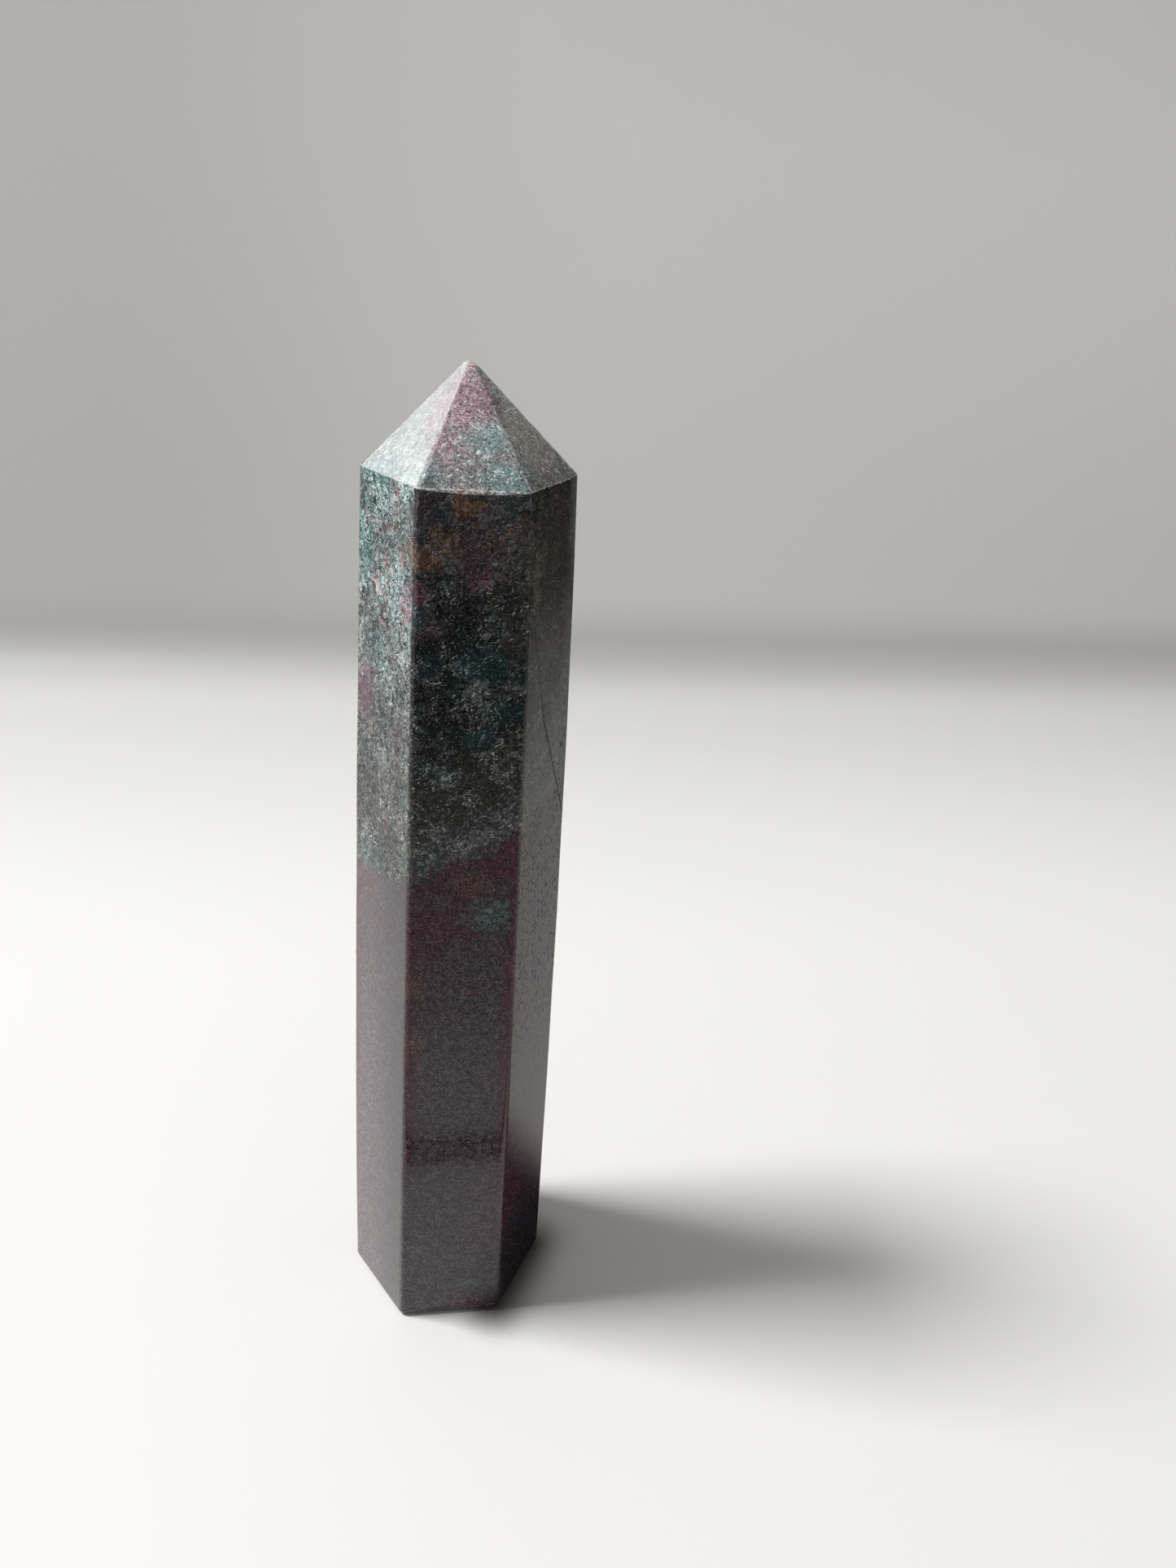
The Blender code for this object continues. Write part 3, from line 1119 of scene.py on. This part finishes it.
    def painted_glints(self, colour: Socket) -> Socket:
        """White dots of sparkle, partly pale crystal grains and partly painted highlights off crystal
        faces, with dull grains between them where it is frosted.

        Args:
            colour: the rock's colour.

        Returns:
            The colour with the glints and dull grains on it.
        """
        distance, (first, second, _) = self.cells(self.place, self.between(self.frost, 7.0, 4.8))
        core = self.span(distance, 0.60, 0.25)
        clump = self.noise(self.place, 2.4, 3.0, 0.7)
        clump = self.span(clump, 0.42, 0.60, self.times(self.frost, 0.4), 1.0)
        # More painted sparkle on the frosted right face of the point.
        start = self.between(self.frost, 0.72, self.between(self.right, 0.64, 0.30))
        painted_glint = self.times(core, self.span(first, start, 1.0), clump)
        start = self.between(self.right, 0.35, 0.2)
        dull = self.times(core, self.span(second, start, 0.9, 0.0, 0.9))
        dull = self.times(dull, self.between(self.left, self.frost, self.times(self.frost, 0.22)))
        white = self.mix(self.frost, (0.26, 0.25, 0.25), (0.86, 0.85, 0.85))
        return self.mix(painted_glint, self.mix(dull, colour, (0.030, 0.026, 0.026)), white)

    def worn_edges(self) -> Socket:
        """Bruised white lines along the point's edges and the shoulder.

        Returns:
            Their mask.
        """
        reach = self.math("SQRT", self.plus(self.times(self.x, self.x), self.times(self.y, self.y)))
        turn = self.math("MODULO", self.plus(self.bearing, 360.0), SECTOR)
        away = self.math("RADIANS", self.math("MINIMUM", turn, self.minus(SECTOR, turn)))
        ragged = self.span(self.noise(self.place, 1.8, 4.0, 0.75), 0.36, 0.68)
        upright = self.minus(self.times(away, reach), self.times(ragged, 0.20))
        upright = self.times(self.span(upright, 0.02, -0.08), self.span(self.z, 100.0, 100.2))
        level = self.minus(self.apart(self.z, self.shape.shoulder_height), self.times(ragged, 0.17))
        return self.times(self.highest((upright, self.span(level, 0.0, -0.08))), 0.85)


@dataclass(frozen=True)
class StoneFinish:
    """A finish of the rock.

    roughness_low and roughness_high are the gloss of the darkest and lightest grains, relief is
    the height of single grains in millimetres, and frost is how scratched the surface is.
    """

    name: str
    roughness_low: float
    roughness_high: float
    relief: float
    frost: float
    index: float = 1.5
    hollow_roughness: float = 0.85

    def build(self, rock: bpy.types.NodeTree) -> bpy.types.Material:
        """Make the material.

        Args:
            rock: the node group of the rock.

        Returns:
            The material.
        """
        material = bpy.data.materials.new(self.name)
        material.use_nodes = True
        material.node_tree.nodes.clear()
        sheet = Sheet(material.node_tree)
        group = sheet.node("ShaderNodeGroup", {"Frost": self.frost}, node_tree=rock).outputs
        relief = {"Distance": self.relief * METRES_PER_MM, "Height": group["Height"]}
        roughness = sheet.between(group["Roughness"], self.roughness_low, self.roughness_high)
        shader = sheet.node("ShaderNodeBsdfPrincipled", {
            "Base Color": group["Color"],
            "Roughness": sheet.between(group["Hollow"], roughness, self.hollow_roughness),
            "Normal": sheet.node("ShaderNodeBump", relief).outputs["Normal"],
            "IOR": self.index,
        })
        sheet.node("ShaderNodeOutputMaterial", {"Surface": shader.outputs["BSDF"]})
        return material


POLISHED = StoneFinish("polished_ruby_kyanite", 0.07, 0.13, 0.0015, 0.0)
SCRATCHED_POINT = StoneFinish("scratched_ruby_kyanite", 0.42, 0.60, 0.030, 1.0)
GROUND_FOOT = StoneFinish("ground_ruby_kyanite", 0.55, 0.70, 0.03, 0.35)


@dataclass
class StoneTower:
    """The whole stone: its fine surface and its finishes."""

    shape: TowerShape = field(default_factory=TowerShape)
    foot_slope: float = -0.9
    point_slope: float = 0.3

    def build(self) -> bpy.types.Object:
        """Build and dress the stone and place it on the frame.

        Returns:
            The stone.
        """
        stone = TowerMesh(self.shape).build()
        self.dress(stone)
        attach(stone, "root")
        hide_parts(NODE)
        return stone

    def dress(self, stone: bpy.types.Object) -> None:
        """Give the polished faces, the scratched point and the ground foot their finishes.

        Args:
            stone: the stone.
        """
        group = bpy.data.node_groups.new("ruby_kyanite_rock", "ShaderNodeTree")
        rock = RockPattern(group, self.shape).build()
        finishes = (POLISHED, SCRATCHED_POINT, GROUND_FOOT)
        for finish in finishes:
            stone.data.materials.append(finish.build(rock))
        for face in stone.data.polygons:
            if face.normal.z < self.foot_slope:
                face.material_index = finishes.index(GROUND_FOOT)
            elif face.normal.z > self.point_slope:
                face.material_index = finishes.index(SCRATCHED_POINT)


@dataclass
class PalePaint(Sheet):
    """Paint with painted light fall-off where the camera sees it and painted shade where the stone mirrors
    it.

    gap is where a narrow dark line crosses the floor in front of the picture, in millimetres. x,
    y and z are the place on the floor: to the right, towards the back and up.
    """

    paleness: float = 0.83
    roughness: float = 0.6
    gap: float = -39.2
    dark_right: float = 300.0
    paint_colour: Colour = (1.0, 0.994, 0.976)
    shade_colour: Colour = (0.045, 0.022, 0.013)

    def __post_init__(self) -> None:
        """Make the values that the methods share."""
        spot = self.node("ShaderNodeTexCoord").outputs["Object"]
        self.x, self.y, self.z = self.parts(self.scaled(spot, 1.0 / METRES_PER_MM))
        self.outside_gap: Socket = self.span(self.apart(self.y, self.gap), 2.7, 3.8, 0.08, 1.0)

    def build(self) -> None:
        """Write the material."""
        ray = self.node("ShaderNodeLightPath").outputs
        share = self.between(ray["Is Glossy Ray"], self.bounced(), self.mirrored())
        share = self.between(ray["Is Camera Ray"], share, self.seen())
        colour = self.mix(share, (0.0, 0.0, 0.0), self.paint_colour)
        shader = self.tree.nodes["Principled BSDF"]
        shader.inputs["Roughness"].default_value = self.roughness
        self.feed(shader.inputs["Base Color"], self.mix(self.foot_shade(), colour, self.shade_colour))

    def bounced(self) -> Socket:
        """How light the floor is to the light that it throws back on the stone."""
        return self.times(self.outside_gap, self.span(self.y, -260.0, self.gap - 1.5, 0.13, self.paleness))

    def mirrored(self) -> Socket:
        """How light the floor is in the stone's polished faces, with painted shade: darker in front of the
        stone, far to each side, and in the stone's shadow beside the foot.

        Returns:
            The lightness, from 0 to 1.
        """
        x, y = self.x, self.y
        near, far = self.span(y, -130.0, -15.0, 0.02, 0.76), self.span(y, -260.0, -60.0, 0.03, 0.27)
        far_right = self.span(x, 110.0, self.dark_right, 0.60, 0.02)
        right = self.math("MINIMUM", self.span(x, 20.0, 66.0, 0.58, 0.64), far_right)
        # Painted shadow of the stone beside its foot on the right, for the right face to mirror.
        corner = self.times(self.span(x, 50.0, 29.0), self.span(y, 14.0, 4.0), 0.92)
        right = self.times(right, self.rest(corner))
        side = self.between(self.span(x, 0.0, 8.0), self.span(x, -260.0, -50.0, 0.26, 0.74), right)
        side = self.times(side, self.paleness)
        front = self.times(self.highest((near, far)), self.outside_gap)
        return self.between(self.span(y, -6.0, -10.0), side, front)

    def seen(self) -> Socket:
        """How light the floor and the wall are to the camera, with painted light fall-off: the floor
        darker towards the back, the wall lighter upwards and to the right.

        Returns:
            The lightness, from 0 to 1.
        """
        wall = self.span(self.z, 0.0, 190.0, 0.86, 1.20)
        wall = self.times(wall, self.span(self.x, -90.0, 60.0, 0.84, 1.05))
        floor = self.span(self.y, 55.0, 225.0, 0.98, 0.66)
        return self.times(self.between(self.span(self.z, 2.0, 26.0), floor, wall), self.paleness)

    def foot_shade(self) -> Socket:
        """How much the floor is darkened close to the foot on the shadow's side.

        Returns:
            The share of the shade's colour.
        """
        cosine, sine = math.cos(math.radians(-30.0)), math.sin(math.radians(-30.0))
        away = self.plus(self.times(self.x, cosine), self.times(self.y, sine))
        along = self.minus(self.times(self.y, cosine), self.times(self.x, sine))
        close = self.times(self.math("POWER", self.span(away, 16.5, 9.6), 1.7), self.span(away, 5.0, 9.0))
        return self.times(close, self.span(self.math("ABSOLUTE", along), 12.0, 5.0, 0.0, 0.92))


@dataclass
class Studio:
    """The pale floor and backdrop, the window light and the camera, in millimetres and degrees."""

    wall_distance: float = 215.0
    wall_height: float = 205.0
    cove_radius: float = 12.0
    cove_steps: int = 8
    floor_reach: float = 900.0
    camera_spot: Numbers = (-5.97, -110.63, 121.54)
    camera_yaw: float = 10.07
    camera_pitch: float = 25.70
    camera_roll: float = 4.52
    focal_pixels: float = 1425.1
    long_side_pixels: int = 1927
    sensor_width: float = 36.0
    nearest_seen: float = 5.0
    window_aim: Numbers = (0.0, 0.0, 55.0)
    window_way: Numbers = (-0.553, 0.078, 0.829)
    window_distance: float = 1800.0
    window_size: Numbers = (440.0, 620.0)
    window_power: float = 35.5
    window_colour: Colour = (1.0, 1.0, 0.995)
    room_colour: Colour = (1.0, 0.985, 0.97)
    room_light: float = 0.27

    def camera(self) -> None:
        """Stand the camera where the photograph was taken from."""
        data = bpy.data.cameras.new("camera")
        data.sensor_width = self.sensor_width
        data.lens = self.focal_pixels / self.long_side_pixels * self.sensor_width
        data.clip_start = self.nearest_seen * METRES_PER_MM
        camera = bpy.data.objects.new("camera", data)
        yaw, pitch = math.radians(self.camera_yaw), math.radians(self.camera_pitch)
        forward = (math.sin(yaw) * math.cos(pitch), math.cos(yaw) * math.cos(pitch), -math.sin(pitch))
        turn = Vector(forward).to_track_quat("-Z", "Y").to_matrix()
        turn = turn @ Matrix.Rotation(math.radians(self.camera_roll), 3, "Z")
        spot = Vector(self.camera_spot) * METRES_PER_MM
        camera.matrix_world = Matrix.Translation(spot) @ turn.to_4x4()
        bpy.context.scene.collection.objects.link(camera)
        bpy.context.scene.camera = camera

    def backdrop(self) -> None:
        """A floor that sweeps up into a low wall."""
        profile = [(-self.floor_reach, 0.0)]
        start, radius = self.wall_distance - self.cove_radius, self.cove_radius
        for step in range(self.cove_steps + 1):
            angle = math.pi / 2.0 * step / self.cove_steps
            profile.append((start + radius * math.sin(angle), radius * (1.0 - math.cos(angle))))
        profile.append((self.wall_distance, self.wall_height))
        sides = (-self.floor_reach, self.floor_reach)
        points = [Vector((x, y, z)) * METRES_PER_MM for x in sides for y, z in profile]
        count = len(profile)
        faces = [(i, count + i, count + i + 1, i + 1) for i in range(count - 1)]
        material = bpy.data.materials.new("pale_paint")
        material.use_nodes = True
        PalePaint(material.node_tree).build()
        mesh = bpy.data.meshes.new("backdrop")
        mesh.from_pydata(points, [], faces)
        mesh.shade_smooth()
        mesh.materials.append(material)
        backdrop = bpy.data.objects.new("backdrop", mesh)
        bpy.context.scene.collection.objects.link(backdrop)

    def lights(self) -> None:
        """A large window from the left and slightly behind, and a dim room."""
        data = bpy.data.lights.new("window", "AREA")
        data.shape = "RECTANGLE"
        data.size = self.window_size[0] * METRES_PER_MM
        data.size_y = self.window_size[1] * METRES_PER_MM
        data.energy = self.window_power
        data.color = self.window_colour
        aim = Vector(self.window_aim)
        spot = aim + Vector(self.window_way) * self.window_distance
        window = bpy.data.objects.new("window", data)
        window.location = spot * METRES_PER_MM
        window.rotation_mode = "QUATERNION"
        window.rotation_quaternion = (aim - spot).to_track_quat("-Z", "Y")
        bpy.context.scene.collection.objects.link(window)
        world = bpy.data.worlds.new("room")
        world.use_nodes = True
        background = world.node_tree.nodes["Background"]
        background.inputs["Color"].default_value = (*self.room_colour, 1.0)
        background.inputs["Strength"].default_value = self.room_light
        bpy.context.scene.world = world

    def build(self) -> None:
        """Set up the camera, the backdrop and the lights."""
        self.camera()
        self.backdrop()
        self.lights()
        bpy.context.scene.view_settings.view_transform = "Standard"


def corners(box: tuple[Vector, Vector]) -> list[list[float]]:
    """A box's two corners as plain lists."""
    return [list(box[0]), list(box[1])]


def main() -> None:
    """Build the studio and the stone."""
    logging.basicConfig(level=logging.INFO, format="%(name)s: %(message)s")
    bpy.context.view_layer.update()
    Studio().build()
    stone = StoneTower().build()
    LOG.info("%s: %d faces", stone.name, len(stone.data.polygons))
    bpy.context.view_layer.update()


if __name__ == "__main__":
    main()
